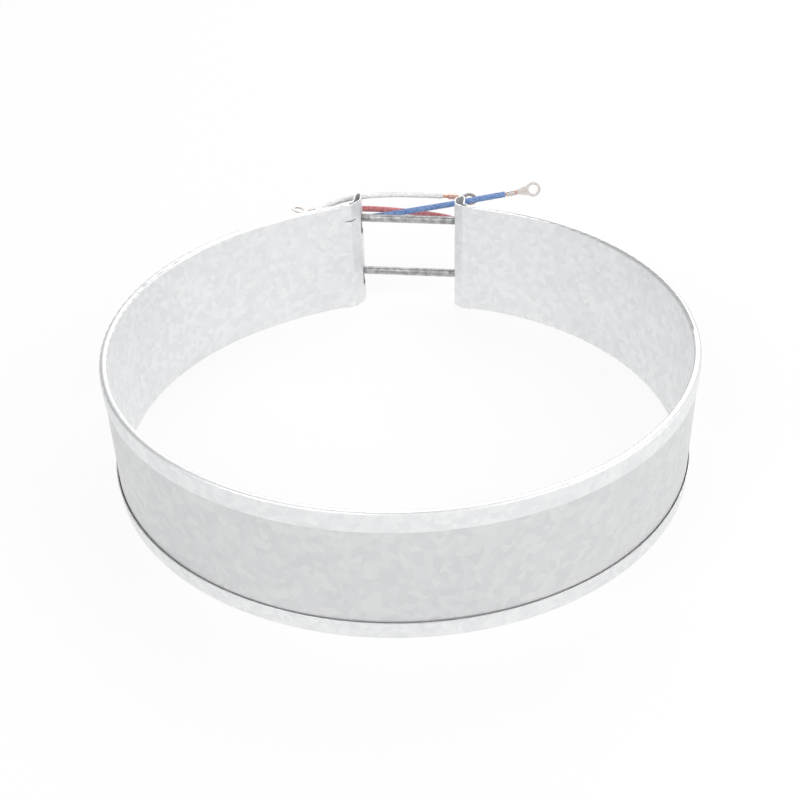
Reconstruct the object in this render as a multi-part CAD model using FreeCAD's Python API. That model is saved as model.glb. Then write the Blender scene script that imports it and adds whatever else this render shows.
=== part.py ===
import FreeCAD, Part
import os
from math import cos, degrees, pi, radians, sin, tan
from FreeCAD import Vector

# A mica-insulated band heater. It is a sprung-open ring of galvanised sheet whose edges are hemmed
# over an outer cover, with a wound ribbon element sealed between mica layers inside the wall.
# Both ends of the sheath are folded into hollow ears, and two long screws draw the ears together.
# Millimetres. Z is the ring's axis and +Y points to the clamping gap. Heights are worked out from
# the lower rim here, and save() puts the origin at the middle of the band's height.

# ---------------------------------------------------------------- driving dimensions
BORE_R = 136.6           # inner radius of the band, the face that grips the barrel
BAND_H = 65.4            # height of the band
GAP_HALF_ANGLE = 13.8    # the band stops this far each side of +Y, in degrees
SPRING_LENGTH = 60.0     # the left end is sprung straighter over this length
SPRING_OUT = 3.0         # and stands this far outside the true circle

SHEET = 0.5              # galvanised sheet of the sheath and the cover
MICA = 0.5               # the inner and outer mica layers
CARD = 0.4               # the mica card that carries the ribbon
RIBBON_T = 0.1           # thickness of the resistance ribbon
RIBBON_W = 3.0           # width of the resistance ribbon
RIBBON_TURNS = 56        # turns of ribbon round the card
LAYER_GAP = 0.05         # clearance between one layer and the next

TOP_HEM = 9.2            # how far the upper hem laps down over the cover
LOW_HEM = 8.8            # how far the lower hem laps up over the cover
HEM_BEND = 1.1           # mid-line bend radius of the hems
HEM_FLARE = 0.5          # the lower hem's lip stands open by this much
HEM_FLARE_RUN = 3.0      # over this height
HEM_INSET = 4.0          # the hems are notched away this far before each end
COVER_INSET = 1.4        # the cover stops this far before each end
STACK_INSET = 8.0        # the mica and the element stop this far before each end
STACK_EDGE = 1.6         # the layers stop this far inside the rims
CARD_EDGE = 7.0          # the wound card is narrower than the mica by this much each side

AXIS_Y = 145.5           # the screws cross the plane X = 0 at this distance from the ring's axis
SKEW = 5.3               # the sprung ends let the screws lie this far off square, in degrees
SCREW_Z_LOW = 17.9       # height of the lower screw
SCREW_PITCH_Z = 34.0     # the upper screw is this far above it
NOSE_X = 27.25           # mid-line of the ear's wall that faces the gap
BACK_X = {"right": 32.2, "left": 30.6}  # mid-line of the ear's wall that the heads and nuts bear on
EAR_FOLD_IN = 1.0        # the outer fold, where the two walls meet, is this far inside it
EAR_RISE = 5.2           # height of that fold above the screws' axis
NOSE_LOW = 5.2           # the flat of the nose starts this far below the screws' axis
NOSE_HIGH = 1.6          # and ends this far above it
TAB_LENGTH = 11.0        # the sheet's end is laid back along the cover for this length
EAR_BEND = 1.6           # mid-line radius of the open bends
FOLD_BEND = 0.6          # mid-line radius of the tight outer fold
TAB_BEND = 1.0           # mid-line radius where the back wall turns into the tab
SLOT_W = 5.8             # slots in the ears' back walls, across
NOSE_SLOT_W = 8.2        # and in their noses
NOSE_SLOT_IN = 1.2       # which are cut this far off the screw's axis, into the bend
SLOT_ABOVE = 3.1         # above the screw's axis
SLOT_BELOW = 9.6         # below it
RELIEF_Z = 55.0          # a saw relief in the left ear's bend
RELIEF_H = 0.8
RELIEF_L = 10.5
RELIEF_DEEP = 5.0

SCREW_D = 5.0            # M5 clamp screws
THREAD_PITCH = 0.8
SCREW_L = 76.0
HEAD_D = 8.5             # slotted cheese heads
HEAD_H = 3.3
HEAD_SLOT_W = 1.3
HEAD_SLOT_D = 1.4
THREAD_GAP = 0.04        # running clearance in the nut and under the washer
NUT_AF = 8.0
NUT_H = 4.0
WASHER_D = 10.0
WASHER_T = 1.0
WASHER_HOLE = 5.3
SEAT_GAP = 0.05          # between a washer, a hood or a tag and what it bears on
CLOSE_GAP = 0.02         # between pieces that are riveted or crimped together

LEAD_D = 3.4             # braided lead
EARTH_D = 3.0            # earth lead
CORE_D = 2.0             # bare conductor in the terminals
EARTH_CORE_D = 1.9
BARREL_WALL = 0.7        # ring terminals, M5
BARREL_L = 5.2
TONGUE_T = 0.8
EYE_D = 8.4
EYE_HOLE = 5.3
EYE_REACH = 16.3         # from the end of the sleeve to the eye's centre
EARTH_EYE_REACH = 15.8
EYE_LAP = 1.2            # the tongue runs this far under its barrel
NECK_SHARE = 0.8         # the tongue's neck, as a share of the barrel's radius

HOOD_L = 15.0            # pressed hood over each lead's way out
HOOD_FLANGE_W = 14.0
HOOD_SHEET = 0.5
HOOD_GAP = 0.55          # clearance round the lead
HOOD_BACK = 44.0         # arc length from the band's end to the hood's closed end
BLUE_EXIT_Z = 43.0
RED_EXIT_Z = 40.0
HOOD_CORNER = 3.0        # radius of the flange's corners
RIVET_D = 2.0
RIVET_HEAD_R = 1.8
RIVET_HEAD_H = 0.9
TAG_ARC = 26.0           # arc length from the band's end to the earth rivet
TAG_Z = 60.3
TAG_EYE_D = 8.0
TAG_W = 3.4
TAG_FLAT = 5.0           # from the rivet to the tongue's bend
TAG_TAIL = 6.0           # from the bend to the barrel
TAG_BEND = 21.0          # the tongue is bent outward, in degrees
TAG_TILT = -5.0          # and the tag is turned up a little
TAG_LAP = 1.5            # the tongue runs this far under its barrel
EARTH_RIVET_R = 1.4
EARTH_RIVET_HEAD_R = 2.5
EARTH_RIVET_HEAD_H = 1.25
EYELET_X = -HOOD_L / 2 + HOOD_SHEET + 2.6
EYELET_CLEAR = 2.1       # insulating clearance round an eyelet in the cover
EYELET_R = 1.1
EYELET_HEAD_R = 1.8
EYELET_HEAD_H = 0.6
EYELET_RISE = 0.5        # the head stands this far off the cover's face
RIBBON_SPACE = 7.0       # the winding starts this far from the eyelets
LEAD_BARE = 0.6          # bare core showing between the sleeve and the barrel
EARTH_BARE = 3.0
CORE_PROUD = 0.8         # the core stands this far out of the barrel
# The way each terminal's eye looks, before it is squared to its lead.
BLUE_FACE = (0.0, -0.9, 0.44)
RED_FACE = (0.0, 0.2, -1.0)
EARTH_FACE = (0.0, -0.4, 0.9)

# The routes of the three leads. Their points are chosen, and don't follow the sizes above.
BLUE_ROUTE = [(-71.4, 122.9, 43.0), (-57.4, 131.5, 43.0), (-46.4, 144.0, 43.6), (-37.4, 153.9, 44.9),
              (-25.0, 157.6, 47.5), (-9.0, 153.2, 51.7), (7.0, 152.6, 54.8), (23.0, 154.6, 56.5),
              (39.0, 156.6, 58.8), (55.9, 157.6, 61.4)]
RED_ROUTE = [(71.0, 122.7, 40.0), (56.7, 130.7, 40.0), (46.0, 143.0, 41.0), (37.5, 154.0, 42.5),
             (26.0, 160.0, 45.0), (13.0, 161.0, 47.4), (-4.0, 160.0, 50.2), (-18.5, 158.8, 52.2),
             (-29.5, 157.8, 53.0), (-38.6, 155.7, 54.2), (-45.6, 151.2, 56.2), (-50.7, 146.1, 58.0)]
EARTH_ROUTE = [(-49.6, 139.0, 61.5), (-43.3, 146.2, 62.2), (-34.0, 154.6, 61.2), (-20.0, 158.3, 61.3),
               (-1.0, 158.9, 61.3), (20.0, 160.5, 59.2)]

# ---------------------------------------------------------------- derived sizes
WALL_MID = BORE_R + SHEET / 2
IN_MICA = (BORE_R + SHEET + LAYER_GAP, BORE_R + SHEET + LAYER_GAP + MICA)
RIBBON_IN = IN_MICA[1] + LAYER_GAP
CARD_R = (RIBBON_IN + RIBBON_T + LAYER_GAP, RIBBON_IN + RIBBON_T + LAYER_GAP + CARD)
RIBBON_OUT = CARD_R[1] + LAYER_GAP + RIBBON_T
OUT_MICA = (RIBBON_OUT + LAYER_GAP, RIBBON_OUT + LAYER_GAP + MICA)
COVER_R = (OUT_MICA[1] + LAYER_GAP, OUT_MICA[1] + LAYER_GAP + SHEET)
HEM_MID = COVER_R[1] + LAYER_GAP + SHEET / 2
OUTER_R = HEM_MID + SHEET / 2

GAP_HALF = radians(GAP_HALF_ANGLE)
SPRING_R = 1 / (1 / WALL_MID - 2 * SPRING_OUT / SPRING_LENGTH ** 2)
SPRING_SHIFT = SPRING_R - WALL_MID
SPRING_START = pi / 2 + GAP_HALF + SPRING_LENGTH / WALL_MID
SPRING_CENTRE = Vector(-SPRING_SHIFT * cos(SPRING_START), -SPRING_SHIFT * sin(SPRING_START), 0)
SCREW_ZS = {"upper": SCREW_Z_LOW + SCREW_PITCH_Z, "lower": SCREW_Z_LOW}
SKEW_RAD = radians(SKEW)
UP = Vector(0, 0, 1)
WASHER_FACE = {side: x + SHEET / 2 + SEAT_GAP for side, x in BACK_X.items()}


# ---------------------------------------------------------------- helpers
def save(name, shape):
    """Write one sub-part with the origin at mid-height, and print what it holds."""
    shape.translate(UP * (-BAND_H / 2))
    shape.exportStep("parts/" + name + ".step")
    print(name, len(shape.Solids), "solid(s)", round(shape.Volume, 1), "mm3")


def fuse(shapes):
    """Join shapes that share faces into one solid."""
    joined = shapes[0].fuse(shapes[1:]) if len(shapes) > 1 else shapes[0]
    return joined.removeSplitter()


def corner(before, at, after, radius):
    """Where a bend of this radius starts and ends on the two legs, and its centre."""
    inward = (before - at).normalize()
    outward = (after - at).normalize()
    turn = pi - inward.getAngle(outward)
    reach = radius * tan(turn / 2)
    centre = at + (inward + outward).normalize() * (radius / cos(turn / 2))
    return at + inward * reach, centre, at + outward * reach


def side_edges(points, radii, offset, normal):
    """One side of a folded strip: straight legs and concentric bends, offset from the mid-line."""
    start = points[0] + normal.cross(points[1] - points[0]).normalize() * offset
    edges = []
    for i in range(1, len(points) - 1):
        first, centre, last = corner(points[i - 1], points[i], points[i + 1], radii[i - 1])
        side = normal.cross(points[i] - points[i - 1]).normalize()
        scale = 1 - offset * side.dot(centre - first) / radii[i - 1] ** 2
        middle = centre + (points[i] - centre).normalize() * radii[i - 1] * scale
        first = centre + (first - centre) * scale
        last = centre + (last - centre) * scale
        edges.append(Part.LineSegment(start, first).toShape())
        edges.append(Part.Arc(first, middle, last).toShape())
        start = last
    side = normal.cross(points[-1] - points[-2]).normalize()
    edges.append(Part.LineSegment(start, points[-1] + side * offset).toShape())
    return edges


def strip_face(points, radii, thickness, normal):
    """The section of a sheet folded along a mid-line, as a flat face."""
    left = side_edges(points, radii, thickness / 2, normal)
    right = side_edges(points, radii, -thickness / 2, normal)
    first = Part.LineSegment(left[0].Vertexes[0].Point, right[0].Vertexes[0].Point).toShape()
    last = Part.LineSegment(left[-1].Vertexes[-1].Point, right[-1].Vertexes[-1].Point).toShape()
    return Part.Face(Part.Wire(Part.__sortEdges__(left + right + [first, last])))


def section(r_in, r_out, z_low, z_high):
    """A plain rectangle in the XZ plane, for a layer of the wall."""
    corners = [Vector(r_in, 0, z_low), Vector(r_out, 0, z_low), Vector(r_out, 0, z_high),
               Vector(r_in, 0, z_high), Vector(r_in, 0, z_low)]
    return Part.Face(Part.makePolygon(corners))


def band_frame(side, arc, radius, z=0.0):
    """A place on the band, this arc length from one end: its point, the way to the gap, outward."""
    if side == "right":
        angle = pi / 2 - GAP_HALF - arc / WALL_MID
        centre = Vector(0, 0, 0)
    elif arc > SPRING_LENGTH:
        angle = SPRING_START + (arc - SPRING_LENGTH) / WALL_MID
        centre = Vector(0, 0, 0)
    else:
        angle = SPRING_START - (SPRING_LENGTH - arc) / SPRING_R
        centre = SPRING_CENTRE
        radius = radius + SPRING_SHIFT
    outward = Vector(cos(angle), sin(angle), 0)
    turn = 1 if side == "right" else -1
    return centre + outward * radius + UP * z, Vector(-sin(angle), cos(angle), 0) * turn, outward


def framed(shape, origin, x_dir, y_dir):
    """Move a shape that was made in a local frame to its place."""
    placed = shape.copy()
    turned = FreeCAD.Rotation(x_dir, y_dir, x_dir.cross(y_dir), "XYZ")
    placed.Placement = FreeCAD.Placement(origin, turned).multiply(shape.Placement)
    return placed


def band(face, inset):
    """Sweep a section round the band: the true circle, then the sprung left end."""
    end = 2 * pi + pi / 2 - GAP_HALF - inset / WALL_MID
    start = face.copy()
    start.rotate(Vector(0, 0, 0), UP, degrees(SPRING_START))
    circle = start.revolve(Vector(0, 0, 0), UP, degrees(end - SPRING_START))
    sprung = start.revolve(SPRING_CENTRE, -UP, degrees((SPRING_LENGTH - inset) / SPRING_R))
    return fuse([circle, sprung])


def end_wall(side, length):
    """The bare wall of the sheath beside one ear, where the hems are notched away."""
    face = section(BORE_R, BORE_R + SHEET, 0, BAND_H)
    if side == "right":
        angle = pi / 2 - GAP_HALF - length / WALL_MID
        face.rotate(Vector(0, 0, 0), UP, degrees(angle))
        return face.revolve(Vector(0, 0, 0), UP, degrees(length / WALL_MID))
    face.rotate(Vector(0, 0, 0), UP, degrees(SPRING_START))
    face.rotate(SPRING_CENTRE, -UP, degrees((SPRING_LENGTH - length) / SPRING_R))
    return face.revolve(SPRING_CENTRE, -UP, degrees(length / SPRING_R))


def clamp_point(x, y, z=0.0):
    """A point in the screws' own frame: x along them, y outward from their axis."""
    along = Vector(cos(SKEW_RAD), -sin(SKEW_RAD), 0)
    outward = Vector(sin(SKEW_RAD), cos(SKEW_RAD), 0)
    return Vector(0, AXIS_Y, z) + along * x + outward * y


def clamp_shape(shape):
    """Move a shape made in the screws' frame to the band."""
    return framed(shape, clamp_point(0, 0), clamp_point(1, 0) - clamp_point(0, 0),
                  clamp_point(0, 1) - clamp_point(0, 0))


def rod(x_from, x_to, radius, z):
    """A round bar along the screws' axis, in their own frame."""
    return Part.makeCylinder(radius, x_to - x_from, Vector(x_from, 0, z), Vector(1, 0, 0))


# ---------------------------------------------------------------- the sheath and the wall's layers
def hem_section():
    """The sheath's section: inner wall, rounded rims, and a hem lapped over the cover at each rim."""
    half = SHEET / 2
    points = [Vector(HEM_MID, 0, BAND_H - TOP_HEM), Vector(HEM_MID, 0, BAND_H - half),
              Vector(WALL_MID, 0, BAND_H - half), Vector(WALL_MID, 0, half), Vector(HEM_MID, 0, half),
              Vector(HEM_MID, 0, LOW_HEM - HEM_FLARE_RUN),
              Vector(HEM_MID + HEM_FLARE, 0, LOW_HEM)]
    radii = [HEM_BEND] * 4 + [EAR_BEND]
    return strip_face(points, radii, SHEET, Vector(0, 1, 0))


def ear(side):
    """One hollow ear: the sheet turns out, folds back on itself and lies along the cover."""
    sign = 1 if side == "right" else -1
    end, to_gap, _ = band_frame(side, 0, WALL_MID)
    lay, lay_dir, lay_out = band_frame(side, TAB_LENGTH * 0.6, COVER_R[1] + LAYER_GAP + SHEET / 2)
    across = clamp_point(1, 0) - clamp_point(0, 0)
    back_x = BACK_X[side]
    back = (clamp_point(sign * back_x, 0) - lay).dot(across) / lay_dir.dot(across)
    tab_corner = lay + lay_dir * back
    points = [end, end + to_gap * EAR_BEND, clamp_point(sign * NOSE_X, -NOSE_LOW),
              clamp_point(sign * NOSE_X, NOSE_HIGH), clamp_point(sign * (back_x - EAR_FOLD_IN), EAR_RISE),
              clamp_point(sign * back_x, NOSE_HIGH), tab_corner, tab_corner - lay_dir * TAB_LENGTH]
    radii = [EAR_BEND, EAR_BEND, EAR_BEND, FOLD_BEND, EAR_BEND, TAB_BEND]
    sheet = strip_face(points, radii, SHEET, UP).extrude(UP * BAND_H)
    for low, high in ((-1, LOW_HEM + 1), (BAND_H - TOP_HEM - 1, BAND_H + 1)):
        trim = Part.makeBox(TAB_LENGTH, 3 * SHEET, high - low, Vector(-TAB_LENGTH - 2, -1.5 * SHEET, low))
        if side == "right":
            trim = Part.makeBox(TAB_LENGTH, 3 * SHEET, high - low, Vector(2, -1.5 * SHEET, low))
        sheet = sheet.cut(framed(trim, tab_corner, lay_dir * -sign, lay_out))
    return sheet


def ear_slots(side):
    """The slots that the two screws lie in, wide through the nose and narrower through the back."""
    sign = 1 if side == "right" else -1
    middle = (NOSE_X + BACK_X[side]) / 2
    slots = []
    for near, far, width, shift in ((NOSE_X - 2, middle, NOSE_SLOT_W, -NOSE_SLOT_IN),
                                    (middle, BACK_X[side] + 2, SLOT_W, 0)):
        x_from = min(sign * near, sign * far)
        for z in SCREW_ZS.values():
            low = z - SLOT_BELOW + width / 2
            high = z + SLOT_ABOVE - SLOT_W / 2
            slot = Part.makeBox(far - near, width, high - low, Vector(x_from, -width / 2, low))
            slot = fuse([slot, rod(x_from, x_from + far - near, width / 2, low),
                         rod(x_from, x_from + far - near, width / 2, high)])
            slot.translate(Vector(0, shift, 0))
            slots.append(slot)
    return clamp_shape(fuse(slots))


def relief_slit():
    """A thin saw cut in the left ear's bend, level with the upper screw."""
    point, to_gap, outward = band_frame("left", 0, WALL_MID, RELIEF_Z)
    cut = Part.makeBox(RELIEF_L, RELIEF_DEEP, RELIEF_H, Vector(-2, -RELIEF_DEEP / 2, 0))
    return framed(cut, point, to_gap, outward)


def inner_sheath():
    """One folded sheet: the wall with its hems, and an ear at each end."""
    hemmed = band(hem_section(), HEM_INSET)
    pieces = [hemmed]
    for side in ("left", "right"):
        pieces.append(end_wall(side, HEM_INSET))
        pieces.append(ear(side).cut(ear_slots(side)))
    sheath = fuse(pieces).cut(relief_slit())
    return sheath.cut(earth_hole())


def layer(r_pair, z_edge, inset):
    """One plain layer of the wall, between two radii."""
    return band(section(r_pair[0], r_pair[1], z_edge, BAND_H - z_edge), inset)


def hood_frame(side):
    """The middle of a hood's seat on the cover: its point, the way to the gap, outward."""
    exit_z = BLUE_EXIT_Z if side == "left" else RED_EXIT_Z
    return band_frame(side, HOOD_BACK - HOOD_L / 2, COVER_R[1] + SEAT_GAP, exit_z)


def hood_shape(shape, side):
    """Move a shape made in a hood's frame (x to the gap, y outward) to its place."""
    point, to_gap, outward = hood_frame(side)
    return framed(shape, point, to_gap, outward)


def pin(x, z, radius, y_low, y_high):
    """A round pin square to the wall, in a hood's frame."""
    return Part.makeCylinder(radius, y_high - y_low, Vector(x, y_low, z), Vector(0, 1, 0))


def dome(x, z, radius, height, base):
    """A rivet's low domed head, standing on the plane y = base."""
    ball = (radius ** 2 + height ** 2) / (2 * height)
    cap = Part.makeSphere(ball, Vector(x, base + height - ball, z))
    return cap.common(pin(x, z, 2 * radius, base, base + 2 * height))


def rivet_places():
    """Where the hood's two rivets sit, in its frame."""
    middle = LEAD_D / 2 + HOOD_GAP + HOOD_SHEET
    reach = (middle + HOOD_FLANGE_W / 2) / 2
    return [(0, -reach), (0, reach)]


def outer_cover():
    """The plain cover under the hems, with the holes for the rivets, the eyelets and the earth rivet."""
    cover = layer(COVER_R, STACK_EDGE, COVER_INSET)
    depth = 3 * SHEET
    for side in ("left", "right"):
        holes = [pin(x, z, RIVET_D / 2 + CLOSE_GAP, -depth, depth) for x, z in rivet_places()]
        holes.append(pin(EYELET_X, 0, EYELET_CLEAR, -depth, depth))
        for hole in holes:
            cover = cover.cut(hood_shape(hole, side))
    return cover.cut(earth_hole())


# ---------------------------------------------------------------- the heating element
def pierced(sheet):
    """A layer with the holes that the eyelets pass through."""
    for side in ("left", "right"):
        hole = pin(EYELET_X, 0, EYELET_R + CLOSE_GAP, BORE_R - OUTER_R, HOOD_SHEET)
        sheet = sheet.cut(hood_shape(hole, side))
    return sheet


def element_eyelets():
    """The two eyelets that join the ribbon's ends to the leads, inside the hoods."""
    eyelets = []
    bottom = RIBBON_IN - COVER_R[1]
    top = EYELET_RISE + EYELET_HEAD_H
    for side in ("left", "right"):
        shank = pin(EYELET_X, 0, EYELET_R, bottom, top)
        head = pin(EYELET_X, 0, EYELET_HEAD_R, EYELET_RISE, top)
        bore = pin(EYELET_X, 0, EYELET_R / 2, bottom, top)
        eyelets.append(hood_shape(shank.fuse(head).cut(bore), side))
    return Part.makeCompound(eyelets)


def ribbon_station(arc, radius, z, slope_r, slope_z):
    """Four corners of the ribbon where it turns: inner and outer face, one and the other edge."""
    corners = []
    for shift in (-RIBBON_W / 2, RIBBON_W / 2):
        for layer_out in (0, RIBBON_T):
            point, _, _ = band_frame("left", arc + shift, radius + slope_r * layer_out,
                                     z + slope_z * layer_out)
            corners.append(point)
    return [corners[0], corners[1], corners[3], corners[2]]


def resistance_ribbon():
    """One flat ribbon wound round the card, as faceted strips that share every edge."""
    length = (2 * pi - 2 * GAP_HALF) * WALL_MID
    first = HOOD_BACK + RIBBON_SPACE
    pitch = (length - 2 * first) / RIBBON_TURNS
    top = BAND_H - CARD_EDGE + LAYER_GAP
    bottom = CARD_EDGE - LAYER_GAP
    outside = CARD_R[1] + LAYER_GAP
    inside = CARD_R[0] - LAYER_GAP
    stations = []
    for turn in range(RIBBON_TURNS):
        arc = first + turn * pitch
        stations.append(ribbon_station(arc, outside, bottom, 1, -1))
        stations.append(ribbon_station(arc, outside, top, 1, 1))
        stations.append(ribbon_station(arc, inside, top, -1, 1))
        for part in (1, 2):
            share = part / 3
            stations.append(ribbon_station(arc + pitch * share, inside,
                                           top + (bottom - top) * share, -1, 0))
        stations.append(ribbon_station(arc + pitch, inside, bottom, -1, -1))
    faces = [Part.Face(Part.makePolygon([*stations[0], stations[0][0]])),
             Part.Face(Part.makePolygon([*stations[-1], stations[-1][0]]))]
    for one, two in zip(stations, stations[1:]):
        for i in range(4):
            j = (i + 1) % 4
            faces.append(Part.Face(Part.makePolygon([one[i], one[j], two[j], one[i]])))
            faces.append(Part.Face(Part.makePolygon([one[i], two[j], two[i], one[i]])))
    shell = Part.makeShell(faces)
    shell.sewShape()
    ribbon = Part.makeSolid(shell)
    if ribbon.Volume < 0:
        ribbon.reverse()
    return ribbon


# ---------------------------------------------------------------- hoods and rivets over the leads' exits
def lead_hood(side):
    """A pressed half-round hood with a flange, closed behind and open toward the gap."""
    bore = LEAD_D / 2 + HOOD_GAP
    outer = bore + HOOD_SHEET
    back = -HOOD_L / 2
    arch = Part.makeCylinder(outer, HOOD_L, Vector(back, bore, 0), Vector(1, 0, 0))
    arch = arch.fuse(Part.makeBox(HOOD_L, bore, 2 * outer, Vector(back, 0, -outer)))
    flange = Part.makeBox(HOOD_L, HOOD_SHEET, HOOD_FLANGE_W, Vector(back, 0, -HOOD_FLANGE_W / 2))
    edges = [e for e in flange.Edges if e.BoundBox.YLength > HOOD_SHEET / 2]
    flange = flange.makeFillet(HOOD_CORNER, edges)
    room = Part.makeCylinder(bore, HOOD_L, Vector(back + HOOD_SHEET, bore, 0), Vector(1, 0, 0))
    room = room.fuse(Part.makeBox(HOOD_L, bore + 1, 2 * bore, Vector(back + HOOD_SHEET, -1, -bore)))
    above = Part.makeBox(HOOD_L, 2 * outer, 2 * outer, Vector(back, 0, -outer))
    hood = fuse([arch.common(above), flange]).cut(room)
    for x, z in rivet_places():
        hood = hood.cut(pin(x, z, RIVET_D / 2 + CLOSE_GAP, -HOOD_SHEET, 2 * HOOD_SHEET))
    return hood_shape(hood, side)


def hood_rivets():
    """Four small rivets that hold the hoods to the cover."""
    rivets = []
    top = HOOD_SHEET + CLOSE_GAP
    for side in ("left", "right"):
        for x, z in rivet_places():
            shank = pin(x, z, RIVET_D / 2, -SHEET - SEAT_GAP, top)
            head = dome(x, z, RIVET_HEAD_R, RIVET_HEAD_H, top)
            rivets.append(hood_shape(shank.fuse(head), side))
    return Part.makeCompound(rivets)


# ---------------------------------------------------------------- the earth tag and its rivet
def tag_shape(shape, tilt):
    """Move a shape made in the earth tag's frame (x to the gap, y outward) to its place."""
    point, to_gap, outward = band_frame("left", TAG_ARC, OUTER_R, TAG_Z)
    tilted = shape.copy()
    if tilt:
        tilted.rotate(Vector(0, 0, 0), Vector(0, 1, 0), TAG_TILT)
    return framed(tilted, point, to_gap, outward)


def earth_hole():
    """The earth rivet's hole, through the upper hem and the cover only."""
    return tag_shape(pin(0, 0, EARTH_RIVET_R + CLOSE_GAP, COVER_R[0] - OUTER_R - CLOSE_GAP, SHEET), False)


def tag_barrel():
    """Where the tag's barrel starts, in the tag's frame, and the way that it points."""
    bent = Vector(cos(radians(TAG_BEND)), sin(radians(TAG_BEND)), 0)
    lift = Vector(-bent.y, bent.x, 0) * (EARTH_CORE_D / 2 + CLOSE_GAP + BARREL_WALL - TONGUE_T / 2)
    bend = Vector(TAG_FLAT, SEAT_GAP + TONGUE_T / 2, 0)
    return bend + bent * (TAG_TAIL - TAG_LAP) + lift, bent


def earth_tag():
    """The earth lead's tag: an eye under the rivet, a bent tongue and a crimped barrel."""
    middle = SEAT_GAP + TONGUE_T / 2
    eye = pin(0, 0, TAG_EYE_D / 2, SEAT_GAP, SEAT_GAP + TONGUE_T)
    start, bent = tag_barrel()
    turn = Vector(TAG_FLAT, middle, 0)
    points = [Vector(0, middle, 0), turn, turn + bent * TAG_TAIL]
    tongue = strip_face(points, [EAR_BEND], TONGUE_T, UP).extrude(UP * TAG_W)
    tongue.translate(UP * (-TAG_W / 2))
    radius = EARTH_CORE_D / 2 + CLOSE_GAP
    barrel = Part.makeCylinder(radius + BARREL_WALL, BARREL_L, start, bent)
    bore = Part.makeCylinder(radius, 2 * BARREL_L, start, bent)
    hole = pin(0, 0, EARTH_RIVET_R + CLOSE_GAP, 0, 2 * TONGUE_T)
    return tag_shape(fuse([eye, tongue, barrel]).cut(bore).cut(hole), True)


def earth_rivet():
    """A domed rivet through the tag, the hem and the cover."""
    top = SEAT_GAP + TONGUE_T + CLOSE_GAP
    shank = pin(0, 0, EARTH_RIVET_R, COVER_R[0] - OUTER_R, top)
    return tag_shape(shank.fuse(dome(0, 0, EARTH_RIVET_HEAD_R, EARTH_RIVET_HEAD_H, top)), False)


# ---------------------------------------------------------------- leads and their ring terminals
def lead_tube(name, route, diameter):
    """A lead as straight runs joined by tangent arcs, as large as the two runs allow."""
    points = [Vector(*p) for p in route]
    edges = []
    radii = []
    start = points[0]
    for before, at, after in zip(points, points[1:], points[2:]):
        turn = pi - (before - at).getAngle(after - at)
        radius = 0.45 * min((before - at).Length, (after - at).Length) / tan(turn / 2)
        first, centre, last = corner(before, at, after, radius)
        middle = centre + (at - centre).normalize() * radius
        edges.append(Part.LineSegment(start, first).toShape())
        edges.append(Part.Arc(first, middle, last).toShape())
        radii.append(round(radius, 1))
        start = last
    edges.append(Part.LineSegment(start, points[-1]).toShape())
    path = Part.Wire(edges)
    ring = Part.Wire(Part.makeCircle(diameter / 2, points[0], points[1] - points[0]))
    tube = path.makePipeShell([ring], True, False)
    straight = pi * diameter ** 2 / 4 * path.Length
    runs = [round((b - a).Length, 1) for a, b in zip(points, points[1:])]
    print(name, "length", round(path.Length, 1), "radii", radii, "runs", runs,
          "volume ratio", round(tube.Volume / straight, 5))
    return tube


def terminal_place(route, look):
    """The end of a lead, the way it points, and which way the eye's face looks."""
    end = Vector(*route[-1])
    along = (end - Vector(*route[-2])).normalize()
    face = Vector(*look)
    face = (face - along * face.dot(along)).normalize()
    return end, along, face.cross(along)


def at_end(shape, route, look):
    """Move a shape made along x from a lead's end to its place."""
    end, along, across = terminal_place(route, look)
    return framed(shape, end, along, across)


def conductor(route, look, diameter, bare):
    """The stripped core, from the end of the sleeve through the barrel."""
    length = bare + BARREL_L + CORE_PROUD
    core = Part.makeCylinder(diameter / 2, length, Vector(CLOSE_GAP, 0, 0), Vector(1, 0, 0))
    return at_end(core, route, look)


def ring_terminal(route, look, diameter, bare, reach):
    """A crimp terminal: a barrel round the core, a tapered tongue and an eye for an M5 screw."""
    bore = diameter / 2 + CLOSE_GAP
    outer = bore + BARREL_WALL
    barrel = Part.makeCylinder(outer, BARREL_L, Vector(bare, 0, 0), Vector(1, 0, 0))
    barrel_end = bare + BARREL_L
    slope = EYE_D / 2 * sin(pi / 4)
    neck = outer * NECK_SHARE
    outline = [(barrel_end - EYE_LAP, -neck), (barrel_end + EYE_LAP, -neck), (reach - slope, -slope),
               (reach, 0), (reach - slope, slope), (barrel_end + EYE_LAP, neck),
               (barrel_end - EYE_LAP, neck), (barrel_end - EYE_LAP, -neck)]
    tongue = Part.Face(Part.makePolygon([Vector(x, y, -outer) for x, y in outline]))
    tongue = tongue.extrude(UP * TONGUE_T)
    eye = Part.makeCylinder(EYE_D / 2, TONGUE_T, Vector(reach, 0, -outer))
    hole = Part.makeCylinder(EYE_HOLE / 2, 2 * EYE_D, Vector(reach, 0, -EYE_D))
    core = Part.makeCylinder(bore, barrel_end + EYE_LAP, Vector(0, 0, 0), Vector(1, 0, 0))
    return at_end(fuse([barrel, tongue, eye]).cut(hole).cut(core), route, look)


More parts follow.
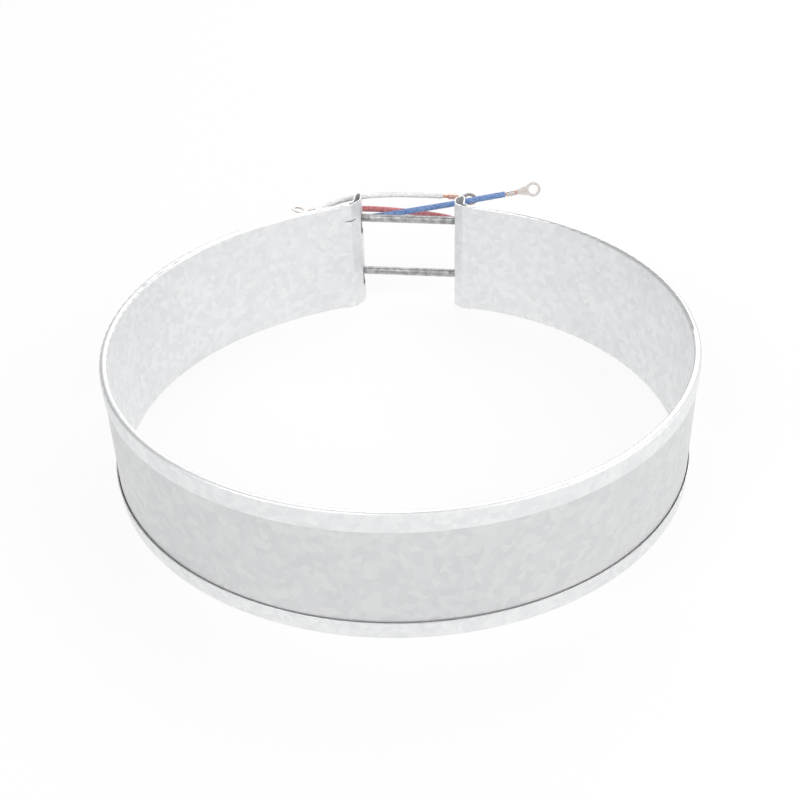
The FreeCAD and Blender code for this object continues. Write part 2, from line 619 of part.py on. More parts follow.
# ---------------------------------------------------------------- clamp screws, nuts and washers
def clamp_screw(z):
    """A slotted cheese-head screw, its head behind the right ear."""
    under = WASHER_FACE["right"] + WASHER_T + SEAT_GAP
    tip = under - SCREW_L
    shank = rod(tip, under, SCREW_D / 2, z)
    shank = shank.makeChamfer(THREAD_PITCH * 0.6, [e for e in shank.Edges if on_x(e, tip)])
    head = rod(under, under + HEAD_H, HEAD_D / 2, z)
    head = head.makeFillet(0.5, [e for e in head.Edges if on_x(e, under + HEAD_H)])
    slot = Part.makeBox(HEAD_SLOT_D + 1, HEAD_D + 2, HEAD_SLOT_W,
                        Vector(under + HEAD_H - HEAD_SLOT_D, -HEAD_D / 2 - 1, z - HEAD_SLOT_W / 2))
    return clamp_shape(fuse([shank, head]).cut(slot))


def on_x(edge, x):
    """Whether an edge is a whole circle in the plane at this x."""
    box = edge.BoundBox
    return abs(box.XMin - x) < 0.01 and abs(box.XMax - x) < 0.01


def washer(z, side):
    """A plain washer against an ear's back wall."""
    x_from = WASHER_FACE[side] if side == "right" else -WASHER_FACE[side] - WASHER_T
    disc = rod(x_from, x_from + WASHER_T, WASHER_D / 2, z)
    return clamp_shape(disc.cut(rod(x_from - 1, x_from + WASHER_T + 1, WASHER_HOLE / 2, z)))


def clamp_nut(z):
    """A hexagon nut behind the left ear, chamfered on both faces."""
    face = WASHER_FACE["left"] + WASHER_T + SEAT_GAP
    radius = NUT_AF / 2 / cos(pi / 6)
    corners = [Vector(-face, radius * cos(pi / 3 * i), z + radius * sin(pi / 3 * i)) for i in range(7)]
    nut = Part.Face(Part.makePolygon(corners)).extrude(Vector(-NUT_H, 0, 0))
    turned = rod(-face - NUT_H, -face, radius, z)
    ends = [e for e in turned.Edges if on_x(e, -face) or on_x(e, -face - NUT_H)]
    nut = nut.common(turned.makeChamfer(radius - NUT_AF / 2, ends))
    return clamp_shape(nut.cut(rod(-face - NUT_H - 1, -face + 1, SCREW_D / 2 + THREAD_GAP, z)))


# ---------------------------------------------------------------- build
def main():
    os.makedirs("parts", exist_ok=True)
    save("inner_sheath", inner_sheath())
    save("outer_cover", outer_cover())
    save("inner_mica", layer(IN_MICA, STACK_EDGE, STACK_INSET))
    save("element_card", pierced(layer(CARD_R, CARD_EDGE, STACK_INSET)))
    save("outer_mica", pierced(layer(OUT_MICA, STACK_EDGE, STACK_INSET)))
    save("resistance_ribbon", resistance_ribbon())
    save("element_eyelets", element_eyelets())
    save("blue_lead_hood", lead_hood("left"))
    save("red_lead_hood", lead_hood("right"))
    save("hood_rivets", hood_rivets())
    save("earth_tag", earth_tag())
    save("earth_rivet", earth_rivet())
    leads = (("blue", BLUE_ROUTE, BLUE_FACE, LEAD_D, CORE_D, LEAD_BARE, EYE_REACH),
             ("red", RED_ROUTE, RED_FACE, LEAD_D, CORE_D, LEAD_BARE, EYE_REACH),
             ("earth", EARTH_ROUTE, EARTH_FACE, EARTH_D, EARTH_CORE_D, EARTH_BARE, EARTH_EYE_REACH))
    for name, route, look, width, core, bare, reach in leads:
        save(name + "_lead", lead_tube(name, route, width))
        save(name + "_conductor", conductor(route, look, core, bare))
        save(name + "_terminal", ring_terminal(route, look, core, bare, reach))
    for name, z in SCREW_ZS.items():
        save(name + "_clamp_screw", clamp_screw(z))
        save(name + "_head_washer", washer(z, "right"))
        save(name + "_nut_washer", washer(z, "left"))
        save(name + "_clamp_nut", clamp_nut(z))


main()
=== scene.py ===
# %% [markdown]
# # A mica band heater
# The real object is a ring of thin galvanised sheet that clamps round a machine's barrel and heats
# it. A flat resistance ribbon, wound on mica, is sealed inside the wall. The ring is sprung open at
# one place, where the sheet is folded into two hollow ears, and two long screws draw the ears
# together. Two braided leads and an earth lead leave it beside the gap.
#
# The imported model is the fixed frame. This script gives it its looks: each visible piece is either
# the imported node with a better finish, or a finer mesh that stands in the same place.

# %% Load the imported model
import bmesh
import bpy
from math import cos, pi, radians, sin
from mathutils import Matrix, Vector


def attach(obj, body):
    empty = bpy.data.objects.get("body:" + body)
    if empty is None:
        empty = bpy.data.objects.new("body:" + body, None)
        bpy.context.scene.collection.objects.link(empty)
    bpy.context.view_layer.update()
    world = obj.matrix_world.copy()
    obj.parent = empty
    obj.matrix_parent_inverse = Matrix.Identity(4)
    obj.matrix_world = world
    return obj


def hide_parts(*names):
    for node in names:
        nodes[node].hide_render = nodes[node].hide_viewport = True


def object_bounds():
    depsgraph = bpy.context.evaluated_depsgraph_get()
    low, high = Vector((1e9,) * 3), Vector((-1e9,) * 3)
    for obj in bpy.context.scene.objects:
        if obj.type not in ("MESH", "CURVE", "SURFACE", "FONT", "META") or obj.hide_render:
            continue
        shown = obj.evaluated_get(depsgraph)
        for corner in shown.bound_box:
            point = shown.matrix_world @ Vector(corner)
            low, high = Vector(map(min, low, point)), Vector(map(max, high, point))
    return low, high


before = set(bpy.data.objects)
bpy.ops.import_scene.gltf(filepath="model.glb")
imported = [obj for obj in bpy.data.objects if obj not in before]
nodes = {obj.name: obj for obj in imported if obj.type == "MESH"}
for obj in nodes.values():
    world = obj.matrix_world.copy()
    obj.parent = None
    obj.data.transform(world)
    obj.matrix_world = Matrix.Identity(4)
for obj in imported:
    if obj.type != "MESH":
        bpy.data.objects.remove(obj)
cad_low, cad_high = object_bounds()
MM = 0.001
print("nodes", len(nodes), "box in mm", [round(x / MM, 1) for x in (*cad_low, *cad_high)])

# %% [markdown]
# ## The camera
# The ring is seen from above, from near enough for its far side to look smaller. The camera stands
# half a metre off and a third of a metre up, with a slightly long lens. It is turned a little to one
# side, and tilted a little about its own line of sight.

# %% Camera
CAMERA_PLACE = Vector((0.02475, -0.50614, 0.33042))
CAMERA_PITCH = 33.8      # degrees that it looks down
CAMERA_HEADING = 2.886   # degrees that it is turned to the left
CAMERA_TILT = -1.736     # degrees that it is tilted about its own line of sight
CAMERA_LENS = 55.8       # mm, on a sensor 36 mm wide

lens = bpy.data.cameras.new("camera")
lens.lens = CAMERA_LENS
lens.sensor_width = 36.0
camera = bpy.data.objects.new("camera", lens)
turn = Matrix.Rotation(radians(CAMERA_HEADING), 4, "Z")
tip = Matrix.Rotation(radians(90 - CAMERA_PITCH), 4, "X")
roll = Matrix.Rotation(radians(CAMERA_TILT), 4, "Z")
camera.matrix_world = Matrix.Translation(CAMERA_PLACE) @ turn @ tip @ roll
bpy.context.scene.collection.objects.link(camera)
bpy.context.scene.camera = camera
bpy.context.scene.view_settings.view_transform = "Standard"
print("camera", [round(x, 3) for x in camera.location])

# %% [markdown]
# ## Helpers for finishes
# Every finish here is made from nodes. Two short helpers keep the node trees readable: one gives a
# socket a value or a link, the other adds a node with its inputs. Patterns read Object coordinates,
# which are metres in the frame, so a pattern has the same grain on every piece.

# %% Finish helpers
def feed(tree, socket, value):
    """Give a socket a fixed value, or link it to another node's output."""
    if isinstance(value, bpy.types.NodeSocket):
        tree.links.new(value, socket)
    else:
        socket.default_value = value


def add(tree, kind, inputs=None, **settings):
    """Add one node, set it up and feed its inputs by name or number."""
    node = tree.nodes.new(kind)
    for name, value in settings.items():
        setattr(node, name, value)
    for name, value in (inputs or {}).items():
        feed(tree, node.inputs[name], value)
    return node


def maths(tree, kind, *values):
    """One step of arithmetic."""
    return add(tree, "ShaderNodeMath", dict(enumerate(values)), operation=kind).outputs[0]


def ramp(tree, value, stops, smooth=True):
    """Turn a value into a colour or a grey through a few stops."""
    node = add(tree, "ShaderNodeValToRGB", {0: value})
    node.color_ramp.interpolation = "EASE" if smooth else "LINEAR"
    while len(node.color_ramp.elements) < len(stops):
        node.color_ramp.elements.new(0.5)
    for element, (place, colour) in zip(node.color_ramp.elements, stops):
        element.position = place
        element.color = colour if len(colour) == 4 else (*colour, 1.0)
    return node.outputs["Color"]


def grey(value):
    """A neutral colour."""
    return (value, value, value)


def spread(tree, value, low, high, to_low, to_high):
    """Stretch a range of values onto another range."""
    node = add(tree, "ShaderNodeMapRange", {0: value, 1: low, 2: high, 3: to_low, 4: to_high})
    return node.outputs[0]


def finish_named(name, metallic, roughness, colour):
    """A finish with its pattern still to come: returns the material, its tree and its shader."""
    material = bpy.data.materials.new(name)
    material.use_nodes = True
    tree = material.node_tree
    shader = tree.nodes["Principled BSDF"]
    feed(tree, shader.inputs["Metallic"], metallic)
    feed(tree, shader.inputs["Roughness"], roughness)
    feed(tree, shader.inputs["Base Color"], (*colour, 1.0) if isinstance(colour, tuple) else colour)
    return material, tree, shader


def object_place(tree):
    """The point on the piece, in metres."""
    return add(tree, "ShaderNodeTexCoord").outputs["Object"]


def noise(tree, place, size, detail=2.0, rough=0.5):
    """Cloudy noise whose patches are about this large, in metres."""
    node = add(tree, "ShaderNodeTexNoise", {"Vector": place, "Scale": 1 / size, "Detail": detail,
                                            "Roughness": rough})
    return node.outputs["Fac"]


def bump_from(tree, shader, height, depth):
    """Raise the surface by a pattern, by this many metres from its lowest to its highest."""
    node = add(tree, "ShaderNodeBump", {"Height": height, "Distance": depth, "Strength": 1.0})
    tree.links.new(node.outputs["Normal"], shader.inputs["Normal"])


# %% [markdown]
# ## Galvanised sheet
# Hot-dipped zinc freezes into flat crystals called spangle. Here they are small and soft-edged, and
# each one takes the light a little differently. Cells of a Voronoi texture stand for the crystals,
# and cloudy noise for the handling marks. It is a metal, so most of what is seen is the studio.

# %% Galvanised finish
def galvanised(name, tone, spangle, smear):
    """Zinc-coated sheet: spangle of this size, in metres, and soft smears of this strength."""
    material, tree, shader = finish_named(name, 0.9, 0.5, grey(tone))
    place = object_place(tree)
    warp = add(tree, "ShaderNodeTexNoise", {"Vector": place, "Scale": 1 / (2.2 * spangle),
                                            "Detail": 3.0})
    shifted = add(tree, "ShaderNodeVectorMath", {0: warp.outputs["Color"], 1: (0.5, 0.5, 0.5)},
                  operation="SUBTRACT")
    scaled = add(tree, "ShaderNodeVectorMath", {0: shifted.outputs[0], "Scale": 1.3 * spangle},
                 operation="SCALE")
    bent = add(tree, "ShaderNodeVectorMath", {0: place, 1: scaled.outputs[0]}, operation="ADD")
    crystals = add(tree, "ShaderNodeTexVoronoi", {"Vector": bent.outputs[0], "Scale": 1 / spangle})
    crystal = add(tree, "ShaderNodeSeparateColor", {0: crystals.outputs["Color"]}).outputs[0]
    clouds = noise(tree, place, 0.045, 4.0, 0.6)
    grain = noise(tree, place, 0.0016, 2.0)
    mixed = maths(tree, "ADD", maths(tree, "MULTIPLY", crystal, 0.35),
                  maths(tree, "ADD", maths(tree, "MULTIPLY", clouds, smear),
                        maths(tree, "MULTIPLY", grain, 0.12)))
    low, high = 0.1, 0.47 + smear
    feed(tree, shader.inputs["Base Color"],
         ramp(tree, spread(tree, mixed, low, high, 0.0, 1.0),
              [(0.0, (tone * 0.90, tone * 0.91, tone * 0.92)),
               (1.0, (tone * 1.03, tone * 1.035, tone * 1.04))]))
    feed(tree, shader.inputs["Roughness"], spread(tree, mixed, low, high, 0.58, 0.42))
    bump_from(tree, shader, maths(tree, "ADD", crystal, grain), 0.00002)
    return material


# Painted shade: the cover's tone is set darker than the sheet's (0.74 against 0.87) to stand in for the
# shade on the cover's outer face, so the sheet's hems show as a brighter band beside it.
sheet_zinc = galvanised("sheet_zinc", 0.87, 0.0032, 0.42)
cover_zinc_painted_shade = galvanised("cover_zinc_painted_shade", 0.74, 0.0036, 0.5)
hood_zinc = galvanised("hood_zinc", 0.70, 0.003, 0.3)
print("galvanised finishes", sheet_zinc.name, cover_zinc_painted_shade.name, hood_zinc.name)

# %% [markdown]
# ## The small metal parts
# The screws are duller than the washers and nuts, which are bright plated steel. Copper,
# tinned copper, brass and aluminium differ in colour and in how evenly they shine. Each of them is
# a metal whose roughness and tone drift a little from place to place.

# %% Plain metals
def metal(name, colour, rough, patch, drift=0.12, grain_depth=0.000006):
    """A metal with patches of this size, whose tone and shine drift by this share."""
    material, tree, shader = finish_named(name, 1.0, rough, colour)
    place = object_place(tree)
    patches = noise(tree, place, patch, 3.0, 0.6)
    grain = noise(tree, place, patch / 9, 2.0)
    darker = tuple(c * (1 - drift) for c in colour)
    lighter = tuple(min(c * (1 + drift), 0.95) for c in colour)
    feed(tree, shader.inputs["Base Color"], ramp(tree, patches, [(0.25, darker), (0.75, lighter)]))
    feed(tree, shader.inputs["Roughness"], spread(tree, grain, 0.3, 0.7, rough - 0.06, rough + 0.08))
    bump_from(tree, shader, grain, grain_depth)
    return material


screw_steel = metal("screw_steel", (0.56, 0.56, 0.565), 0.34, 0.004, 0.3)
washer_steel = metal("washer_steel", (0.62, 0.62, 0.62), 0.34, 0.003)
nut_steel = metal("nut_steel", (0.55, 0.55, 0.56), 0.38, 0.003)
rivet_metal = metal("rivet_metal", (0.72, 0.72, 0.72), 0.36, 0.002)
ribbon_metal = metal("ribbon_metal", (0.34, 0.32, 0.30), 0.5, 0.006, 0.2)
eyelet_brass = metal("eyelet_brass", (0.66, 0.48, 0.2), 0.36, 0.002)
tinned_copper = metal("tinned_copper", (0.76, 0.71, 0.68), 0.36, 0.0022, 0.14)
bare_copper = metal("bare_copper", (0.74, 0.40, 0.27), 0.42, 0.0012, 0.25)
print("metals", [finish.name for finish in (screw_steel, washer_steel, nut_steel, rivet_metal,
                                            ribbon_metal, eyelet_brass, tinned_copper, bare_copper)])

# %% A copper terminal whose eye has gone dark
EARTH_EYE_PLACE = (0.03551, 0.16283, 0.02466)
DARK_EYE_REACH = 0.0052


def two_tone_terminal(name):
    """Copper that turns dark grey within reach of the eye's centre."""
    material, tree, shader = finish_named(name, 1.0, 0.4, (0.78, 0.5, 0.4))
    place = object_place(tree)
    away = add(tree, "ShaderNodeVectorMath", {0: place, 1: EARTH_EYE_PLACE}, operation="DISTANCE")
    blotch = noise(tree, place, 0.002, 3.0)
    edge = maths(tree, "ADD", away.outputs["Value"], maths(tree, "MULTIPLY", blotch, 0.0012))
    share = spread(tree, edge, DARK_EYE_REACH, DARK_EYE_REACH + 0.0016, 0.0, 1.0)
    feed(tree, shader.inputs["Base Color"],
         ramp(tree, share, [(0.0, (0.24, 0.23, 0.23)), (1.0, (0.80, 0.53, 0.44))]))
    feed(tree, shader.inputs["Roughness"], spread(tree, blotch, 0.3, 0.7, 0.34, 0.48))
    bump_from(tree, shader, blotch, 0.00001)
    return material


earth_copper = two_tone_terminal("earth_copper")

# %% [markdown]
# ## Mica
# Mica board is made of pressed flakes. It is pale brown, and each flake shines a little apart from
# its neighbours.

# %% Mica finish
mica, tree, shader = finish_named("mica", 0.0, 0.45, (0.5, 0.4, 0.27))
flakes = add(tree, "ShaderNodeTexVoronoi", {"Vector": object_place(tree), "Scale": 1 / 0.005})
flake = add(tree, "ShaderNodeSeparateColor", {0: flakes.outputs["Color"]}).outputs[0]
feed(tree, shader.inputs["Base Color"],
     ramp(tree, flake, [(0.0, (0.40, 0.31, 0.20)), (1.0, (0.58, 0.48, 0.34))]))
feed(tree, shader.inputs["Roughness"], spread(tree, flake, 0.0, 1.0, 0.32, 0.55))
bump_from(tree, shader, flake, 0.00002)

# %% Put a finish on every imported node
FINISHES = {
    "inner_sheath": sheet_zinc, "outer_cover": cover_zinc_painted_shade, "inner_mica": mica, "element_card": mica,
    "outer_mica": mica, "resistance_ribbon": ribbon_metal, "element_eyelets": eyelet_brass,
    "blue_lead_hood": hood_zinc, "red_lead_hood": hood_zinc, "hood_rivets": rivet_metal,
    "earth_tag": tinned_copper, "earth_rivet": rivet_metal, "blue_conductor": bare_copper,
    "red_conductor": bare_copper, "earth_conductor": bare_copper, "blue_terminal": tinned_copper,
    "red_terminal": tinned_copper, "earth_terminal": earth_copper,
}
for level in ("upper", "lower"):
    FINISHES[level + "_clamp_screw"] = screw_steel
    FINISHES[level + "_clamp_nut"] = nut_steel
    FINISHES[level + "_head_washer"] = washer_steel
    FINISHES[level + "_nut_washer"] = washer_steel
for name, node in nodes.items():
    node.data.materials.clear()
    node.data.materials.append(FINISHES.get(name, sheet_zinc))
print("nodes without a finish of their own", sorted(set(nodes) - set(FINISHES)))

# %% [markdown]
# ## Shapes that follow a rule
# A thread and a braid are both a tube whose radius follows a pattern. Each is a Geometry Nodes
# group: a flat grid is wrapped round a line, its radius is worked out at each vertex, its seam is
# merged, and its two ends are drawn to a point so that it is closed.

# %% Geometry Nodes helpers
def shape_group(name, sockets):
    """A new group with these named inputs: label, kind of socket and default."""
    tree = bpy.data.node_groups.new(name, "GeometryNodeTree")
    tree.is_modifier = True
    for label, kind, value in sockets:
        socket = tree.interface.new_socket(label, in_out="INPUT", socket_type="NodeSocket" + kind)
        if value is not None:
            socket.default_value = value
    tree.interface.new_socket("Geometry", in_out="OUTPUT", socket_type="NodeSocketGeometry")
    return tree, tree.nodes.new("NodeGroupInput").outputs


def wrapped_grid(tree, along, around):
    """A unit grid, with how far along and how far round each vertex is, from 0 to 1."""
    grid = add(tree, "GeometryNodeMeshGrid", {"Size X": 1.0, "Size Y": 1.0, "Vertices X": along,
                                              "Vertices Y": around})
    place = add(tree, "GeometryNodeInputPosition").outputs[0]
    parts = add(tree, "ShaderNodeSeparateXYZ", {0: place}).outputs
    along = maths(tree, "ADD", parts["X"], 0.5)
    return grid.outputs["Mesh"], along, maths(tree, "ADD", parts["Y"], 0.5)


def ends_closed(tree, along, radius):
    """The radius, drawn to nothing at the first and last stations."""
    first = maths(tree, "COMPARE", along, 0.0, 0.00001)
    last = maths(tree, "COMPARE", along, 1.0, 0.00001)
    inside = maths(tree, "SUBTRACT", maths(tree, "SUBTRACT", 1.0, first), last)
    return maths(tree, "MULTIPLY", radius, inside)


def vector_maths(tree, kind, first, second):
    """One step of vector arithmetic; a scale takes a number as its second value."""
    name = "Scale" if kind == "SCALE" else 1
    return add(tree, "ShaderNodeVectorMath", {0: first, name: second}, operation=kind).outputs[0]


def around_line(tree, centre, first, second, around, radius):
    """A point at this radius from a centre, between two directions square to the line."""
    angle = maths(tree, "MULTIPLY", around, 2 * pi)
    one = vector_maths(tree, "SCALE", first, maths(tree, "MULTIPLY", radius, maths(tree, "COSINE", angle)))
    two = vector_maths(tree, "SCALE", second, maths(tree, "MULTIPLY", radius, maths(tree, "SINE", angle)))
    return vector_maths(tree, "ADD", centre, vector_maths(tree, "ADD", one, two))


def end_group(tree, mesh, place, material):
    """Move the grid's vertices, merge its seam and ends, and give it its finish."""
    moved = add(tree, "GeometryNodeSetPosition", {"Geometry": mesh, "Position": place}).outputs[0]
    merged = add(tree, "GeometryNodeMergeByDistance", {"Geometry": moved, "Distance": 0.000002}).outputs[0]
    painted = add(tree, "GeometryNodeSetMaterial", {"Geometry": merged, "Material": material}).outputs[0]
    tree.links.new(painted, tree.nodes.new("NodeGroupOutput").inputs[0])


def made_by(name, tree, values, finish):
    """Run a group as a modifier on an empty object, and keep the mesh that it makes."""
    piece = bpy.data.objects.new(name, bpy.data.meshes.new(name + "_seed"))
    bpy.context.scene.collection.objects.link(piece)
    modifier = piece.modifiers.new("shape", "NODES")
    modifier.node_group = tree
    for item in tree.interface.items_tree:
        if item.in_out == "INPUT" and item.name in values:
            modifier[item.identifier] = values[item.name]
    graph = bpy.context.evaluated_depsgraph_get()
    mesh = bpy.data.meshes.new_from_object(piece.evaluated_get(graph), depsgraph=graph)
    piece.modifiers.remove(modifier)
    piece.data = mesh
    mesh.materials.clear()
    mesh.materials.append(finish)
    tidy = bmesh.new()
    tidy.from_mesh(mesh)
    bmesh.ops.recalc_face_normals(tidy, faces=tidy.faces)
    loose = sum(1 for edge in tidy.edges if not edge.is_manifold)
    for face in tidy.faces:
        face.smooth = True
    tidy.to_mesh(mesh)
    tidy.free()
    print(name, "faces", len(mesh.polygons), "open edges", loose)
    return piece


# %% [markdown]
# ## The clamp screws
# The screws are threaded for their whole length. The thread is right-handed: its crest moves along
# the screw by one pitch in each turn.

# %% Thread group
THREAD_PITCH = 0.8       # millimetres
THREAD_CREST_R = 2.48
THREAD_ROOT_R = 2.04
THREAD_TIP_R = 1.95      # the tip is chamfered down to this radius
SCREW_L = 76.0
HEAD_OVERLAP = 0.2       # the threaded shank runs this far into the head
THREAD_STATIONS = 8      # in each pitch
THREAD_AROUND = 25

tree, given = shape_group("thread", [
    ("Start", "Vector", None), ("Along", "Vector", None), ("Across", "Vector", None),
    ("Length", "Float", 0.076), ("Pitch", "Float", 0.0008), ("Crest", "Float", 0.0025),
    ("Root", "Float", 0.002), ("Tip", "Float", 0.0019), ("Stations", "Int", 700),
    ("Around", "Int", 25), ("Finish", "Material", None)])
mesh, along, around = wrapped_grid(tree, given["Stations"], given["Around"])
reach = maths(tree, "MULTIPLY", along, given["Length"])
phase = maths(tree, "FRACT", maths(tree, "SUBTRACT", maths(tree, "DIVIDE", reach, given["Pitch"]), around))
wave = maths(tree, "MULTIPLY", maths(tree, "ABSOLUTE", maths(tree, "SUBTRACT", phase, 0.5)), 2.0)
flats = spread(tree, wave, 0.1, 0.88, 0.0, 1.0)
depth = maths(tree, "MULTIPLY", flats, maths(tree, "SUBTRACT", given["Crest"], given["Root"]))
radius = maths(tree, "MINIMUM", maths(tree, "ADD", given["Root"], depth),
               maths(tree, "ADD", given["Tip"], reach))
radius = ends_closed(tree, along, radius)
centre = vector_maths(tree, "ADD", given["Start"], vector_maths(tree, "SCALE", given["Along"], reach))
second = vector_maths(tree, "CROSS_PRODUCT", given["Along"], given["Across"])
end_group(tree, mesh, around_line(tree, centre, given["Across"], second, around, radius), given["Finish"])
thread_group = tree

# %% The two screws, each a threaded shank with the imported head
SKEW = radians(5.3)
SCREW_ALONG = Vector((cos(SKEW), -sin(SKEW), 0.0))
SCREW_ACROSS = Vector((sin(SKEW), cos(SKEW), 0.0))
UNDER_HEAD = 33.55       # millimetres along the screw's axis from the plane X = 0
SCREW_AXIS_Y = 145.5
SCREW_HEIGHTS = {"upper": 19.2, "lower": -14.8}


def head_of(node, middle):
    """The head's faces from a packed screw, closed where the shank met it."""
    head = bmesh.new()
    head.from_mesh(node.data)
    bmesh.ops.remove_doubles(head, verts=head.verts, dist=0.000002)
    below = [v for v in head.verts if (v.co - middle).dot(SCREW_ALONG) < (UNDER_HEAD - 0.01) * MM]
    bmesh.ops.delete(head, geom=below, context="VERTS")
    bmesh.ops.holes_fill(head, edges=[e for e in head.edges if e.is_boundary])
    bmesh.ops.recalc_face_normals(head, faces=head.faces)
    return head


for level, height in SCREW_HEIGHTS.items():
    middle = Vector((0.0, SCREW_AXIS_Y, height)) * MM
    start = middle + SCREW_ALONG * ((UNDER_HEAD - SCREW_L) * MM)
    length = SCREW_L + HEAD_OVERLAP
    screw = made_by(level + "_screw_visual", thread_group, {
        "Start": tuple(start), "Along": tuple(SCREW_ALONG), "Across": tuple(SCREW_ACROSS),
        "Length": length * MM, "Pitch": THREAD_PITCH * MM, "Crest": THREAD_CREST_R * MM,
        "Root": THREAD_ROOT_R * MM, "Tip": THREAD_TIP_R * MM,
        "Stations": round(length / THREAD_PITCH * THREAD_STATIONS), "Around": THREAD_AROUND,
        "Finish": screw_steel}, screw_steel)
    head = head_of(nodes[level + "_clamp_screw"], middle)
    loose = sum(1 for edge in head.edges if not edge.is_manifold)
    head.from_mesh(screw.data)
    head.to_mesh(screw.data)
    head.free()
    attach(screw, level + "_screw")
    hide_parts(level + "_clamp_screw")
    print(level, "head's open edges", loose)

# %% [markdown]
# ## The leads
# Two leads are braided over in coloured glass fibre that the heat has washed out, and the thinner
# earth lead has a fine white sleeve. The line of each is a smooth NURBS spline through its route.
# The braid has as many flat yarns one way round as the other. Where two cross, one is on top, and
# the next crossing has the other on top.

# %% Braid finishes
def yarn_finish(name, dark, light, patch):
    """Dyed glass fibre, faded in patches and finely streaked."""
    material, tree, shader = finish_named(name, 0.0, 0.62, light)
    place = object_place(tree)
    faded = noise(tree, place, patch, 4.0, 0.65)
    fibre = noise(tree, place, 0.00035, 2.0)
    tone = maths(tree, "ADD", maths(tree, "MULTIPLY", faded, 0.7), maths(tree, "MULTIPLY", fibre, 0.3))
    feed(tree, shader.inputs["Base Color"], ramp(tree, tone, [(0.34, dark), (0.66, light)]))
    feed(tree, shader.inputs["Sheen Weight"], 0.15)
    bump_from(tree, shader, fibre, 0.00006)
    return material


blue_yarn = yarn_finish("blue_yarn", (0.075, 0.165, 0.42), (0.25, 0.38, 0.62), 0.0016)
red_yarn = yarn_finish("red_yarn", (0.42, 0.085, 0.10), (0.66, 0.27, 0.27), 0.0016)
white_yarn = yarn_finish("white_yarn", (0.62, 0.62, 0.61), (0.86, 0.86, 0.85), 0.002)

# %% Braid group
tree, given = shape_group("braid", [
    ("Path", "Object", None), ("Radius", "Float", 0.0017), ("Relief", "Float", 0.0002),
    ("Yarns", "Int", 8), ("Lay", "Float", 0.011), ("Stations", "Int", 700), ("Around", "Int", 65),
    ("Finish", "Material", None)])
mesh, along, around = wrapped_grid(tree, given["Stations"], given["Around"])
path = add(tree, "GeometryNodeObjectInfo", {"Object": given["Path"]}).outputs["Geometry"]
run = add(tree, "GeometryNodeCurveLength", {0: path}).outputs[0]
line = add(tree, "GeometryNodeSampleCurve", {"Curves": path, "Factor": along}, mode="FACTOR").outputs
turns = maths(tree, "DIVIDE", maths(tree, "MULTIPLY", along, run), given["Lay"])
one_way = maths(tree, "MULTIPLY", maths(tree, "ADD", around, turns), given["Yarns"])
other_way = maths(tree, "MULTIPLY", maths(tree, "SUBTRACT", around, turns), given["Yarns"])


def crown(tree, place):
    """How high a yarn stands across its width, from 0 at its edges to 1."""
    wave = maths(tree, "SINE", maths(tree, "MULTIPLY", maths(tree, "FRACT", place), pi))
    return maths(tree, "MAXIMUM", wave, 0.0)


def yarn_height(tree, across, over):
    """A flat yarn with steep edges, dipping where it goes under its neighbours."""
    flat = maths(tree, "POWER", crown(tree, across), 0.4)
    dip = maths(tree, "ADD", 0.5, maths(tree, "MULTIPLY", crown(tree, over), 0.5))
    return maths(tree, "MULTIPLY", flat, dip)


crossing = maths(tree, "ADD", maths(tree, "FLOOR", one_way), maths(tree, "FLOOR", other_way))
on_top = maths(tree, "COMPARE", maths(tree, "FLOORED_MODULO", crossing, 2.0), 1.0, 0.1)
under = maths(tree, "SUBTRACT", 1.0, on_top)
height = maths(tree, "ADD", maths(tree, "MULTIPLY", yarn_height(tree, one_way, other_way), on_top),
               maths(tree, "MULTIPLY", yarn_height(tree, other_way, one_way), under))
sunk = maths(tree, "MULTIPLY", maths(tree, "SUBTRACT", 1.0, height), given["Relief"])
radius = ends_closed(tree, along, maths(tree, "SUBTRACT", given["Radius"], sunk))
second = vector_maths(tree, "CROSS_PRODUCT", line["Tangent"], line["Normal"])
end_group(tree, mesh, around_line(tree, line["Position"], line["Normal"], second, around, radius),
          given["Finish"])
braid_group = tree

# %% Routes of the leads, in millimetres
HALF_HEIGHT = 32.7       # the routes' heights are given from the lower rim
BLUE_ROUTE = [(-71.4, 122.9, 43.0), (-57.4, 131.5, 43.0), (-46.4, 144.0, 43.6), (-37.4, 153.9, 44.9),
              (-25.0, 157.6, 47.5), (-9.0, 153.2, 51.7), (7.0, 152.6, 54.8), (23.0, 154.6, 56.5),
              (39.0, 156.6, 58.8), (55.9, 157.6, 61.4)]
RED_ROUTE = [(71.0, 122.7, 40.0), (56.7, 130.7, 40.0), (46.0, 143.0, 41.0), (37.5, 154.0, 42.5),
             (26.0, 160.0, 45.0), (13.0, 161.0, 47.4), (-4.0, 160.0, 50.2), (-18.5, 158.8, 52.2),
             (-29.5, 157.8, 53.0), (-38.6, 155.7, 54.2), (-45.6, 151.2, 56.2), (-50.7, 146.1, 58.0)]
EARTH_ROUTE = [(-49.6, 139.0, 61.5), (-43.3, 146.2, 62.2), (-34.0, 154.6, 61.2), (-20.0, 158.3, 61.3),
               (-1.0, 158.9, 61.3), (20.0, 160.5, 59.2)]


def lead_line(name, route):
    """A lead's line as one open NURBS spline, in metres, with no thickness."""
    curve = bpy.data.curves.new(name + "_line", "CURVE")
    curve.dimensions = "3D"
    spline = curve.splines.new("NURBS")
    spline.points.add(len(route) - 1)
    for point, (x, y, z) in zip(spline.points, route):
        point.co = (x * MM, y * MM, (z - HALF_HEIGHT) * MM, 1.0)
    spline.order_u = 3
    spline.use_endpoint_u = True
    spline.resolution_u = 24
    line = bpy.data.objects.new(name + "_line", curve)
    bpy.context.scene.collection.objects.link(line)
    return line


def points_of(line):
    """The points of a line, in order, as its spline gives them."""
    graph = bpy.context.evaluated_depsgraph_get()
    mesh = bpy.data.meshes.new_from_object(line.evaluated_get(graph), depsgraph=graph)
    return [tuple(vertex.co) for vertex in mesh.vertices]


